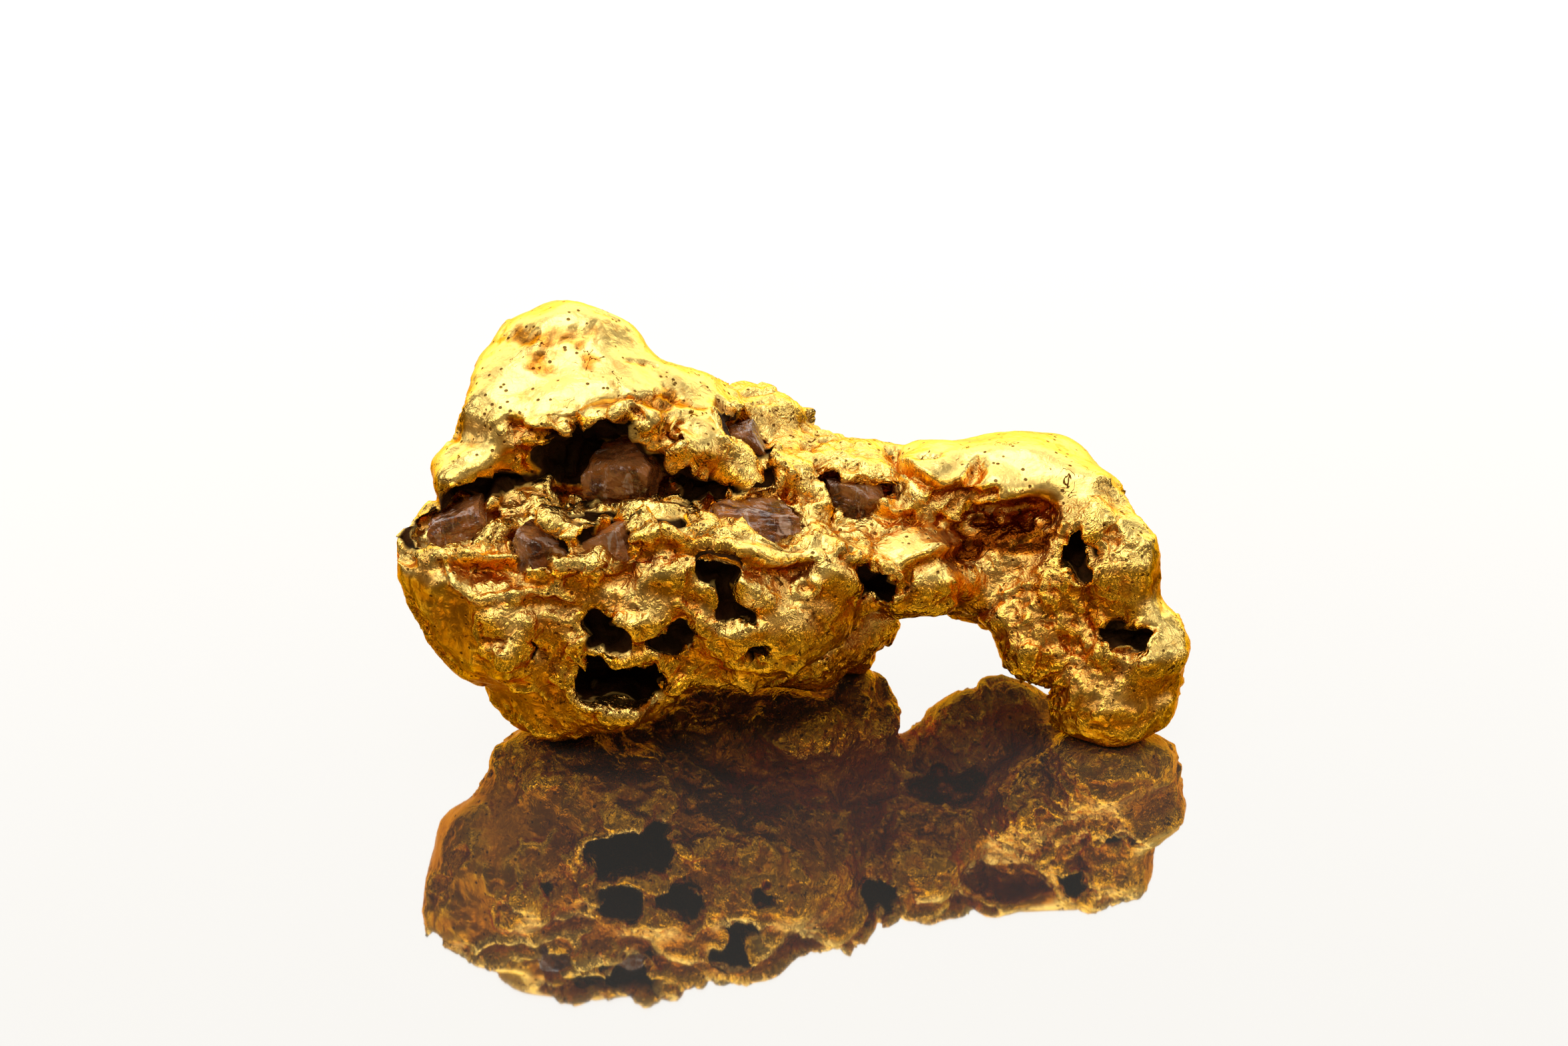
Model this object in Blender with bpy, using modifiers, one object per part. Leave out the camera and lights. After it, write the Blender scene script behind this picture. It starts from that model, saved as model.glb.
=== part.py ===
"""Gold nugget with quartz grains in its pockets, 24 mm long.

The working coordinates are millimetres: x runs along the nugget to the right, y away from the
viewer and z up from the surface it rests on. One parent scales everything to metres.
"""

import math

import bmesh
import bpy
from mathutils import Euler, Matrix, Vector, noise

# The parent's scale and the middle of the nugget's box in the working coordinates.
METRES_PER_MM = 0.001
CENTRE_X = 0.315
CENTRE_Y = 3.585

# Skin of the gold: size of the voxels that join the lumps, smoothing passes and waviness.
SKIN_VOXEL = 0.24
CLEAN_VOXEL = 0.16
SKIN_SMOOTHING = 4
SMOOTHING_SHARE = 0.5
BROAD_WAVES = (2.0, 0.75)
SMALL_WAVES = (0.85, 0.30)
WAVE_LAYERS = 1
WAVE_MIDDLE = 0.5
GOLD_DETAIL = 0.068
LUMP_STEPS = 4

# Grains and the empty pits.
GRAIN_STEPS = 2
PIT_STEPS = 3
GRAIN_CLEARANCE = 0.07
GRAIN_ROUGHNESS = 0.22
PIT_ROUGHNESS = 0.20
BREAK_SCALE = 1.7
FIRST_PIT_SEED = 40.0

# The block that is cut away below the resting level: its size and how far back its middle lies.
FLAT_LEVEL = 0.0
FLOOR_BLOCK = (40.0, 30.0, 4.0)
FLOOR_BLOCK_Y = 3.0

# Materials: colour, roughness, metallic.
GOLD = ((0.83, 0.52, 0.12), 0.30, 1.0)
QUARTZ = ((0.30, 0.12, 0.07), 0.18, 0.0)

# Lumps of the gold: place, radii, turn in degrees about x, y and z.
FRONT_BODY = [
    ((-8.35, 1.6, 4.4), (4.0, 2.75, 2.7), (0, 42, 0)),
    ((-7.2, 2.0, 1.7), (2.0, 2.3, 1.9), (0, 0, 0)),
    ((-4.4, 1.8, 4.6), (4.2, 3.2, 3.1), (0, 0, 0)),
    ((-5.6, 1.7, 2.75), (2.8, 2.9, 2.2), (0, 0, 0)),
    ((-0.9, 1.2, 4.9), (3.3, 2.9, 2.6), (0, 0, 0)),
    ((-8.6, 1.2, 6.5), (1.5, 1.6, 1.3), (0, 0, 0)),
    ((-6.2, 0.5, 6.6), (1.9, 1.5, 1.4), (0, 0, 0)),
    ((-3.5, 0.5, 6.7), (1.8, 1.6, 1.4), (0, 0, 0)),
    ((-1.2, 0.1, 6.5), (1.8, 1.8, 1.2), (0, 0, 0)),
    ((1.0, 0.4, 6.2), (1.5, 1.4, 1.1), (0, 0, 0)),
]
PEAK = [
    ((-6.6, 6.4, 9.65), (2.95, 2.8, 2.6), (0, 0, 0)),
    ((-8.1, 4.6, 9.0), (1.7, 2.4, 1.9), (0, -20, 0)),
    ((-7.9, 5.7, 10.2), (1.7, 2.2, 1.5), (0, 0, 0)),
    ((-9.5, 3.1, 8.2), (1.2, 1.4, 0.8), (0, 0, 0)),
    ((-6.4, 4.2, 9.4), (2.6, 2.2, 1.7), (0, 0, 0)),
    ((-3.5, 4.8, 9.1), (3.0, 2.8, 1.4), (0, 22, 0)),
    ((-0.7, 6.8, 8.0), (1.5, 1.5, 1.3), (0, 0, 0)),
    ((0.8, 6.2, 6.5), (1.8, 1.6, 1.4), (0, 30, 0)),
]
HIDDEN_BACK = [
    ((-5.6, 6.1, 5.6), (4.2, 2.8, 4.3), (0, 0, 0)),
    ((-8.5, 4.6, 6.2), (2.2, 2.6, 3.0), (0, 0, 0)),
    ((-6.4, 4.2, 1.9), (2.2, 2.2, 2.0), (0, 0, 0)),
    ((-1.0, 4.6, 5.6), (4.0, 3.4, 2.9), (0, 0, 0)),
    ((0.2, 5.4, 3.2), (2.8, 2.3, 2.2), (0, 0, 0)),
    ((-2.2, 5.0, 2.4), (3.0, 2.3, 2.15), (0, 0, 0)),
    ((0.8, 5.3, 1.9), (2.0, 1.9, 1.6), (0, 0, 0)),
    ((0.0, 4.4, 1.35), (2.3, 1.9, 1.25), (0, 0, 0)),
    ((2.05, 5.4, 1.85), (1.3, 1.5, 2.2), (0, 0, 0)),
    ((3.0, 5.6, 4.6), (1.8, 1.6, 2.0), (0, 0, 0)),
    ((6.7, 6.4, 4.1), (2.9, 1.4, 3.0), (0, 0, 0)),
    ((8.6, 5.2, 4.6), (2.1, 1.8, 2.6), (0, 0, 0)),
]
BAR_AND_KNOB = [
    ((2.2, 4.9, 6.7), (1.9, 2.0, 1.45), (0, 0, 0)),
    ((4.6, 4.7, 6.8), (2.2, 2.0, 1.35), (0, 0, 0)),
    ((7.0, 4.6, 6.85), (2.3, 2.1, 1.35), (0, 0, 0)),
    ((8.8, 4.1, 6.75), (1.6, 1.9, 1.3), (0, 0, 0)),
    ((4.9, 2.5, 4.8), (1.3, 1.4, 1.0), (0, 0, 0)),
    ((2.3, 1.9, 5.6), (1.6, 1.5, 1.0), (0, 0, 0)),
    ((3.2, 3.4, 5.0), (2.0, 1.8, 1.3), (0, 0, 0)),
]
LEG = [
    ((7.3, 3.4, 4.8), (1.9, 1.6, 1.9), (0, 0, 0)),
    ((9.0, 2.6, 3.9), (2.3, 1.9, 2.3), (0, 0, 0)),
    ((10.15, 2.3, 5.1), (1.55, 1.7, 1.8), (0, 0, 0)),
    ((10.7, 1.2, 2.8), (1.7, 1.7, 1.5), (0, 0, 0)),
    ((10.1, 0.75, 1.20), (1.95, 1.55, 1.55), (0, 0, 0)),
    ((7.7, 1.9, 2.95), (1.6, 1.5, 1.3), (0, 35, 0)),
    ((6.6, 2.4, 3.8), (1.0, 1.2, 0.9), (0, 0, 0)),
    ((9.3, 3.0, 6.1), (1.4, 1.7, 1.3), (0, 0, 0)),
]

# Parts of the bar and the knob with flatter sides: place, radii, turn, how box-like (2 is an ellipsoid).
BLOCKS = [
    ((6.2, 4.5, 6.95), (3.8, 1.95, 1.25), (0, -1, 0), 2.8),
    ((3.85, 1.75, 5.22), (1.35, 1.5, 1.40), (0, 0, 0), 3.6),
    ((2.8, 2.2, 5.4), (1.5, 1.4, 1.0), (0, 0, 0), 3.0),
]

# Hollows and pits cut into the gold: name, place, radii, turn, how box-like (2 is an ellipsoid).
PITS = [
    ("overhang_hollow", (-5.4, 1.9, 8.7), (2.0, 2.3, 1.30), (0, 0, 0), 2.4),
    ("overhang_right", (-2.8, 1.8, 8.0), (1.7, 1.9, 0.50), (0, 8, 0), 2.4),
    ("overhang_left", (-8.3, 1.6, 8.2), (2.2, 1.7, 0.40), (0, -6, 0), 2.4),
    ("notch", (-10.2, 0.7, 7.5), (1.3, 1.5, 0.44), (0, -22, 0), 2.6),
    ("front_left_pocket", (-7.4, -0.3, 7.3), (0.95, 0.9, 0.65), (0, 20, 0), 2.6),
    ("front_right_pocket", (-5.2, -0.3, 7.4), (0.80, 0.9, 0.55), (0, -10, 0), 2.6),
    ("centre_pocket", (-0.3, 0.8, 7.4), (1.20, 0.9, 0.50), (0, 0, 0), 2.6),
    ("pale_pocket", (-1.9, 1.6, 7.5), (0.65, 0.9, 0.45), (0, 0, 0), 2.6),
    ("saddle_ledge", (2.2, 2.9, 7.3), (1.10, 0.9, 0.60), (0, 10, 0), 2.4),
    ("crevice", (-1.0, 3.5, 8.8), (0.40, 1.3, 1.25), (0, -28, 0), 2.4),
    ("dimple", (0.8, 5.0, 7.8), (0.35, 0.5, 0.45), (0, 0, 0), 2.0),
    ("rectangle", (-4.98, -0.5, 3.03), (1.35, 2.0, 0.82), (0, 4, 0), 6.0),
    ("square", (-5.40, -1.2, 4.70), (0.72, 1.3, 0.58), (0, 10, 0), 4.0),
    ("dumb_bell_top", (-2.0, -1.3, 6.62), (0.62, 1.1, 0.40), (0, 10, 0), 3.5),
    ("dumb_bell_waist", (-1.8, -1.4, 6.04), (0.28, 1.1, 0.60), (0, -8, 0), 3.0),
    ("dumb_bell_bottom", (-1.45, -1.5, 5.48), (0.62, 1.1, 0.40), (0, -6, 0), 3.5),
    ("slanted", (-3.30, -1.3, 4.6), (0.75, 0.8, 0.30), (0, -28, 0), 3.0),
    ("small_slot", (-0.95, -1.7, 4.1), (0.28, 0.6, 0.24), (0, 0, 0), 2.5),
    ("under_the_tip", (2.85, 0.4, 5.5), (0.50, 1.1, 0.60), (0, 30, 0), 2.6),
    ("leg_pit", (9.0, 1.6, 5.78), (0.37, 1.1, 0.66), (0, 14, 0), 3.0),
    ("leg_slot", (10.38, 0.1, 3.62), (0.68, 1.0, 0.36), (0, 20, 0), 3.0),
    ("upper_slot", (10.10, 1.0, 6.6), (0.24, 0.8, 0.48), (0, 0, 0), 2.6),
    ("corner_slot", (10.00, 2.3, 7.3), (0.65, 0.8, 0.28), (0, 45, 0), 2.6),
    ("left_slit", (-10.3, 0.0, 3.4), (0.45, 0.5, 0.22), (0, 40, 0), 2.5),
    ("left_slit_high", (-11.2, 0.3, 4.6), (0.50, 0.5, 0.16), (0, 55, 0), 2.5),
    ("flank_hole", (-7.60, -0.8, 4.1), (0.26, 0.6, 0.34), (0, 0, 0), 2.5),
    ("recess", (6.8, 2.2, 6.5), (1.6, 1.6, 0.48), (0, -8, 0), 2.6),
    ("back_hollow", (-5.2, 8.7, 5.6), (1.50, 1.2, 1.05), (0, 25, 0), 2.6),
    ("back_pit_left", (-8.6, 7.3, 4.2), (0.75, 1.0, 0.60), (0, -15, 0), 3.0),
    ("back_pit_right", (-1.6, 8.1, 6.3), (0.85, 1.0, 0.50), (0, 20, 0), 3.0),
    ("back_pit_low", (0.6, 7.7, 3.5), (0.60, 1.0, 0.75), (0, 0, 0), 3.0),
    ("back_bar_pit", (5.2, 6.6, 6.9), (0.95, 0.8, 0.40), (0, -12, 0), 2.8),
    ("back_slab_pit", (7.4, 7.8, 4.2), (0.60, 0.9, 0.70), (0, 12, 0), 3.0),
    ("back_peak_pit", (-6.6, 8.9, 9.6), (0.70, 0.9, 0.45), (0, -20, 0), 2.8),
    ("underside_pit", (-2.6, 4.2, 1.8), (0.90, 0.7, 0.90), (0, 0, 25), 3.0),
    ("left_end_pit", (-10.6, 4.0, 6.4), (0.90, 0.6, 0.50), (0, 0, 20), 2.8),
    ("right_end_pit", (11.2, 3.2, 4.4), (0.90, 0.6, 0.50), (0, 0, 0), 2.8),
]

# Quartz grains: node name, place, radii, turn, seed of their faces.
GRAINS = [
    ("quartz_hollow", (-4.85, 3.2, 8.0), (1.35, 1.40, 1.00), (0, 10, 0), 3.0),
    ("quartz_notch", (-9.9, 1.7, 7.2), (1.15, 1.15, 0.60), (0, -22, 0), 7.0),
    ("quartz_front_left", (-7.4, 0.4, 6.9), (1.00, 0.85, 0.70), (0, 20, 0), 11.0),
    ("quartz_front_right", (-5.2, 0.4, 7.0), (0.85, 0.80, 0.65), (0, -10, 0), 15.0),
    ("quartz_centre", (-0.9, 1.6, 7.0), (1.75, 0.90, 0.60), (0, 3, 0), 19.0),
    ("quartz_crevice", (-1.0, 4.5, 8.2), (0.55, 0.80, 1.10), (0, -28, 0), 23.0),
    ("quartz_saddle", (2.2, 3.5, 6.9), (1.05, 0.75, 0.60), (0, 10, 0), 27.0),
    ("quartz_back", (-5.2, 7.6, 5.5), (1.45, 1.00, 1.00), (0, 25, 0), 31.0),
]


def clear_scene():
    """Remove what a new file starts with."""
    for thing in list(bpy.data.objects):
        bpy.data.objects.remove(thing, do_unlink=True)


def new_collection(name):
    """A collection under the scene's own."""
    group = bpy.data.collections.new(name)
    bpy.context.scene.collection.children.link(group)
    return group


def new_material(name, finish):
    """A Principled material with one colour. finish is its colour, roughness and metallic."""
    colour, roughness, metallic = finish
    material = bpy.data.materials.new(name)
    material.use_nodes = True
    shader = material.node_tree.nodes["Principled BSDF"]
    shader.inputs["Base Color"].default_value = (*colour, 1.0)
    shader.inputs["Roughness"].default_value = roughness
    shader.inputs["Metallic"].default_value = metallic
    return material


def placement(place, radii, turn):
    """The matrix that makes a unit sphere the ellipsoid at place."""
    angles = Euler([math.radians(a) for a in turn])
    return Matrix.LocRotScale(Vector(place), angles, Vector(radii))


def new_object(name, mesh, group, parent):
    """An object for mesh, held by the parent that scales to metres."""
    thing = bpy.data.objects.new(name, mesh)
    group.objects.link(thing)
    thing.parent = parent
    return thing


def joined_lumps(name, lumps, blocks):
    """One mesh of overlapping ellipsoids and of blocks between an ellipsoid and a box."""
    shape = bmesh.new()
    for place, radii, turn in lumps:
        matrix = placement(place, radii, turn)
        bmesh.ops.create_icosphere(shape, subdivisions=LUMP_STEPS, radius=1.0, matrix=matrix)
    for place, radii, turn, boxiness in blocks:
        made = bmesh.ops.create_icosphere(shape, subdivisions=LUMP_STEPS, radius=1.0)
        for vertex in made["verts"]:
            vertex.co *= sum(abs(c) ** boxiness for c in vertex.co) ** (-1.0 / boxiness)
        bmesh.ops.transform(shape, matrix=placement(place, radii, turn), verts=made["verts"])
    mesh = bpy.data.meshes.new(name)
    shape.to_mesh(mesh)
    shape.free()
    return mesh


def broken_lump(name, place, radii, turn, seed, roughness, steps, growth=0.0, boxiness=2.0):
    """A lump between an ellipsoid and a box whose surface goes in and out like a broken grain."""
    shape = bmesh.new()
    bmesh.ops.create_icosphere(shape, subdivisions=steps, radius=1.0)
    for vertex in shape.verts:
        heave = noise.noise(vertex.co * BREAK_SCALE + Vector((seed, 0.0, 0.0)))
        reach = sum(abs(c) ** boxiness for c in vertex.co) ** (-1.0 / boxiness)
        vertex.co *= reach * (1.0 + roughness * heave)
    grown = [radius + growth for radius in radii]
    bmesh.ops.transform(shape, matrix=placement(place, grown, turn), verts=shape.verts)
    mesh = bpy.data.meshes.new(name)
    shape.to_mesh(mesh)
    shape.free()
    return mesh


def add_skin(thing, name, voxel):
    """Replace overlapping shapes by one closed skin."""
    skin = thing.modifiers.new(name, "REMESH")
    skin.mode = "VOXEL"
    skin.voxel_size = voxel


def add_waves(thing, name, size_and_strength):
    """Displace the skin along its normals by soft noise."""
    size, strength = size_and_strength
    texture = bpy.data.textures.new(name, type="CLOUDS")
    texture.noise_scale = size
    texture.noise_depth = WAVE_LAYERS
    waves = thing.modifiers.new(name, "DISPLACE")
    waves.texture = texture
    waves.texture_coords = "LOCAL"
    waves.strength = strength
    waves.mid_level = WAVE_MIDDLE


def cut_collection(thing, name, group):
    """Take every object of group out of thing."""
    cut = thing.modifiers.new(name, "BOOLEAN")
    cut.operation = "DIFFERENCE"
    cut.solver = "EXACT"
    cut.operand_type = "COLLECTION"
    cut.collection = group


def as_cutter(thing):
    """Show a cutter as wire and keep it out of renders."""
    thing.display_type = "WIRE"
    thing.hide_render = True


def make_gold(group, parent, pits, pockets, below):
    """The whole nugget as one closed body."""
    lumps = FRONT_BODY + PEAK + HIDDEN_BACK + BAR_AND_KNOB + LEG
    gold = new_object("gold_nugget", joined_lumps("gold_nugget", lumps, BLOCKS), group, parent)
    gold.data.materials.append(new_material("gold", GOLD))
    add_skin(gold, "skin", SKIN_VOXEL)
    soften = gold.modifiers.new("soften", "SMOOTH")
    soften.factor = SMOOTHING_SHARE
    soften.iterations = SKIN_SMOOTHING
    add_waves(gold, "broad_waves", BROAD_WAVES)
    add_waves(gold, "small_waves", SMALL_WAVES)
    cut_collection(gold, "pits", pits)
    add_skin(gold, "clean_skin", CLEAN_VOXEL)
    facets = gold.modifiers.new("facets", "DECIMATE")
    facets.ratio = GOLD_DETAIL
    cut_collection(gold, "pockets", pockets)
    cut_collection(gold, "resting_flats", below)
    return gold


def make_grains(group, pockets, parent):
    """The quartz grains, and a slightly larger pocket for each."""
    quartz = new_material("smoky_quartz", QUARTZ)
    for name, place, radii, turn, seed in GRAINS:
        shape = (place, radii, turn, seed, GRAIN_ROUGHNESS, GRAIN_STEPS)
        grain = broken_lump(name, *shape)
        new_object(name, grain, group, parent).data.materials.append(quartz)
        pocket = broken_lump(name + "_pocket", *shape, growth=GRAIN_CLEARANCE)
        as_cutter(new_object(name + "_pocket", pocket, pockets, parent))


def make_pits(group, parent):
    """The cutters of the empty pits."""
    for number, (name, place, radii, turn, boxiness) in enumerate(PITS):
        shape = (place, radii, turn, FIRST_PIT_SEED + number, PIT_ROUGHNESS, PIT_STEPS)
        pit = broken_lump(name, *shape, boxiness=boxiness)
        as_cutter(new_object(name, pit, group, parent))


def make_floor_cutter(group, parent):
    """A block below the resting level, which leaves the worn flats of the underside."""
    block = bmesh.new()
    middle = Vector((0.0, FLOOR_BLOCK_Y, FLAT_LEVEL - FLOOR_BLOCK[2] / 2.0))
    size = Matrix.LocRotScale(middle, None, Vector(FLOOR_BLOCK))
    bmesh.ops.create_cube(block, size=1.0, matrix=size)
    mesh = bpy.data.meshes.new("below_the_flats")
    block.to_mesh(mesh)
    block.free()
    as_cutter(new_object("below_the_flats", mesh, group, parent))


clear_scene()
nugget = new_collection("gold_nugget_with_quartz")
pit_cutters = new_collection("pit_cutters")
pocket_cutters = new_collection("pocket_cutters")
floor_cutter = new_collection("floor_cutter")

millimetres = bpy.data.objects.new("millimetres", None)
nugget.objects.link(millimetres)
millimetres.scale = (METRES_PER_MM, METRES_PER_MM, METRES_PER_MM)
millimetres.location = (-CENTRE_X * METRES_PER_MM, -CENTRE_Y * METRES_PER_MM, 0.0)

make_pits(pit_cutters, millimetres)
make_grains(nugget, pocket_cutters, millimetres)
make_floor_cutter(floor_cutter, millimetres)
make_gold(nugget, millimetres, pit_cutters, pocket_cutters, floor_cutter)
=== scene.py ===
# %% [markdown]
# # A gold nugget with quartz in its hollows
#
# Gold that grows inside a vein fills the gaps between other minerals. When the rock weathers away,
# what is left is one lump of metal with the shapes of its old neighbours pressed into it: square and
# slanted pits, ragged lips, thin folded plates. Water and gravel then rub the parts that stand out,
# so that they are smooth and pale, while the hollows stay rough, stained and dark. A few grains of
# the old quartz are still held in the deepest pockets.
#
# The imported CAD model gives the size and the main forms. This file gives it its surface.

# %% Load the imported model
import math

import bmesh
import bpy
import numpy as np
from mathutils import Matrix, Vector


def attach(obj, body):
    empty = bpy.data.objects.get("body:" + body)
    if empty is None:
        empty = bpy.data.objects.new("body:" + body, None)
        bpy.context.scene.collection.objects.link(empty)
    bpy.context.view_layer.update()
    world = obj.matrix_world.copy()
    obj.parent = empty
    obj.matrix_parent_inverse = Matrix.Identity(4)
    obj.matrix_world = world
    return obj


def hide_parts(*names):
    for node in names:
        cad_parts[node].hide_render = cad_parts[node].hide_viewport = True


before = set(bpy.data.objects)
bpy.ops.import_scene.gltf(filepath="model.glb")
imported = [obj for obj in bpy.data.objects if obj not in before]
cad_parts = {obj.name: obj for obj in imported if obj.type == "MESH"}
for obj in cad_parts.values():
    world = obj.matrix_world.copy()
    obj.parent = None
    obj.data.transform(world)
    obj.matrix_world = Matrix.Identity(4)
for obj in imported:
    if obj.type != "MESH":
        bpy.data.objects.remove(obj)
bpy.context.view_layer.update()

MM = 0.001
scene = bpy.context.scene

# %% [markdown]
# ## The camera
#
# The nugget was photographed from a little above with a long lens. The camera stands a tenth of a
# metre in front of it, looks down by about 25 degrees, and is tipped by a little more than one degree.
# Its place was worked out from the nugget and its mirror image in the glossy plate, because a point
# and its reflection together fix how far away the point is.

# %% Camera
PITCH = math.radians(25.08)
TIP = math.radians(-1.36)
EYE = Vector((-0.000315, -0.103565, 0.05454))


def camera_axes(pitch, tip):
    """Right, up and back of a camera that looks along +Y, down by pitch, and is then turned by tip
    about its own line of sight."""
    forward = Vector((0.0, math.cos(pitch), -math.sin(pitch)))
    level = Vector((1.0, 0.0, 0.0))
    above = level.cross(forward)
    right = level * math.cos(tip) + above * math.sin(tip)
    up = above * math.cos(tip) - level * math.sin(tip)
    return right, up, -forward


lens = bpy.data.cameras.new("long_lens")
lens.lens = 85.0
lens.sensor_width = 36.0
lens.clip_start = 0.005
lens.clip_end = 20.0
camera = bpy.data.objects.new("camera", lens)
scene.collection.objects.link(camera)
camera.matrix_world = Matrix.Translation(EYE) @ Matrix(camera_axes(PITCH, TIP)).transposed().to_4x4()
scene.camera = camera
print("camera looks down by", round(math.degrees(PITCH), 1), "degrees")

# %% [markdown]
# ## Numbers that look like chance
#
# A rough surface needs numbers that jump about and are still the same each time the file runs. Each
# cell of a lattice of cubes gets its number from its own three whole-number coordinates: they are
# multiplied, mixed and shifted until no pattern is left. Three kinds of surface are made from that.
# Smooth waves come from a slope in each corner of a cube, sharp folds come from where such waves
# change sign, and cells come from how near the closest of many scattered points is.

# %% Lattice numbers and smooth waves
PRIMES = (73856093, 19349663, 83492791)
CORNERS = [(x, y, z) for x in (0, 1) for y in (0, 1) for z in (0, 1)]


def lattice_numbers(cell, seed):
    """Three numbers from 0 to 1 for each row of cell: its whole numbers times large primes, joined by
    exclusive or, multiplied and shifted twice, then cut into three groups of ten bits."""
    whole = cell.astype(np.int64).astype(np.uint32)
    mixed = whole[:, 0] * np.uint32(PRIMES[0])
    mixed ^= whole[:, 1] * np.uint32(PRIMES[1])
    mixed ^= whole[:, 2] * np.uint32(PRIMES[2])
    mixed += np.uint32((seed * 2654435761) % 2**32)
    for factor in (0x2C1B3C6D, 0x297A2D39):
        mixed ^= mixed >> np.uint32(15)
        mixed *= np.uint32(factor)
    mixed ^= mixed >> np.uint32(14)
    groups = [(mixed >> np.uint32(shift)) & np.uint32(1023) for shift in (0, 10, 20)]
    return np.stack(groups, axis=1) / 1023.0


def waves(points, size, seed=0):
    """Smooth waves about size wide, from -1 to 1: in each of the eight corners of a point's cube, a
    chance slope times the way to that corner, blended by t * t * t * (t * (6 t - 15) + 10)."""
    place = points / size + 37.3
    cell = np.floor(place)
    part = place - cell
    ease = part**3 * (part * (part * 6.0 - 15.0) + 10.0)
    total = np.zeros(len(points))
    for corner in CORNERS:
        corner = np.array(corner, float)
        slope = lattice_numbers(cell + corner, seed) * 2.0 - 1.0
        share = np.prod(np.where(corner > 0, ease, 1.0 - ease), axis=1)
        total += share * np.sum(slope * (part - corner), axis=1)
    return np.clip(total * 1.7, -1.0, 1.0)


def many_waves(points, size, times, seed=0):
    """Waves plus finer and finer ones: each next layer is 0.5 times as wide and 0.55 times as high."""
    return sum(0.55**n * waves(points, size * 0.5**n, seed + n) for n in range(times))


def folds(points, size, times, seed=0):
    """Sharp crests from 0 to about 1, where waves change sign: (1 - |wave|) squared, in layers."""
    layers = [0.5**n * (1.0 - np.abs(waves(points, size * 0.5**n, seed + n))) ** 2 for n in range(times)]
    return sum(layers) / sum(0.5**n for n in range(times))


def threads(points, size, seed=0):
    """Thin ridges a seventh of size wide, from 0 to 1: (1 - |wave|) to the fifth power."""
    return (1.0 - np.abs(waves(points, size, seed))) ** 5


def pushed(points, size, amount, seed=0):
    """The points moved about by waves, so that a pattern read there is bent and torn."""
    ways = [waves(points, size, seed + n) for n in (50, 51, 52)]
    return points + amount * np.stack(ways, axis=1)


def terraces(field, count, edge):
    """A smooth field cut into flat steps: floor(level), plus a short steep side edge wide."""
    level = field * count
    whole = np.floor(level)
    t = np.clip((level - whole - 1.0 + edge) / edge, 0.0, 1.0)
    return (whole + t * t * (3.0 - 2.0 * t)) / count


sample = np.stack(np.meshgrid(*[np.arange(8) * 0.61] * 3), axis=-1).reshape(-1, 3)
print("waves run from", round(waves(sample, 1.0).min(), 2), "to", round(waves(sample, 1.0).max(), 2))

# %% Cells
NEAR_CELLS = [(x, y, z) for x in (-1, 0, 1) for y in (-1, 0, 1) for z in (-1, 0, 1)]


def cells(points, size, seed=0):
    """Distance to the nearest of the scattered points, one in each cube of side size, in units of
    size, a number from 0 to 1 that belongs to that point, and the height of a flat facet that leans
    its own way there: slope . (point - middle)."""
    place = points / size + 41.7
    cell = np.floor(place)
    nearest = np.full(len(points), 9.0)
    mark = np.zeros(len(points))
    tilt = np.zeros(len(points))
    for offset in NEAR_CELLS:
        there = cell + np.array(offset, float)
        away = there + lattice_numbers(there, seed) - place
        distance = np.sqrt(np.sum(away * away, axis=1))
        nearer = distance < nearest
        mark = np.where(nearer, lattice_numbers(there, seed + 7)[:, 0], mark)
        slope = lattice_numbers(there, seed + 9) * 2.0 - 1.0
        tilt = np.where(nearer, -np.sum(slope * away, axis=1), tilt)
        nearest = np.where(nearer, distance, nearest)
    return nearest, mark, tilt


def soft_step(value, low, high):
    """0 below low, 1 above high, and t * t * (3 - 2 t) between them. low may be the larger one."""
    t = np.clip((value - low) / (high - low), 0.0, 1.0)
    return t * t * (3.0 - 2.0 * t)


print("cells reach", round(cells(sample, 1.0)[0].max(), 2), "from their points")

# %% [markdown]
# ## The skin that takes the detail
#
# The CAD solid has a few thousand flat triangles, too few to carry folds a tenth of a millimetre
# across. So a copy of it is cut into small even squares by a voxel remesh, like wrapping it in fine
# wire mesh. Every point of that net is then moved with numpy. The copy is held in millimetres while
# it is worked on, because the remesh tool doesn't take steps smaller than a tenth of a unit's
# thousandth, and it goes back to metres at the end.

# %% A fine net over the CAD solid
NET_MM = 0.108


def fine_net(node, step):
    """A mesh in millimetres: the CAD node's triangles joined at their corners, then remeshed."""
    shape = bmesh.new()
    shape.from_mesh(node.data)
    bmesh.ops.scale(shape, vec=(1.0 / MM,) * 3, verts=shape.verts)
    bmesh.ops.remove_doubles(shape, verts=shape.verts, dist=0.0005)
    mesh = bpy.data.meshes.new("coarse")
    shape.to_mesh(mesh)
    shape.free()
    holder = bpy.data.objects.new("holder", mesh)
    scene.collection.objects.link(holder)
    remesh = holder.modifiers.new("net", "REMESH")
    remesh.mode = "VOXEL"
    remesh.voxel_size = step
    ready = holder.evaluated_get(bpy.context.evaluated_depsgraph_get())
    net = bpy.data.meshes.new_from_object(ready)
    bpy.data.objects.remove(holder)
    bpy.data.meshes.remove(mesh)
    return net


def read_points(mesh):
    """The mesh's corners as one array with a row of x, y, z for each."""
    flat = np.empty(len(mesh.vertices) * 3)
    mesh.vertices.foreach_get("co", flat)
    return flat.reshape(-1, 3)


net = fine_net(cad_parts["gold_nugget"], NET_MM)
points = read_points(net)
triangles = sum(len(face.vertices) - 2 for face in net.polygons)
print("the net has", len(points), "points and", triangles, "triangles")

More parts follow.
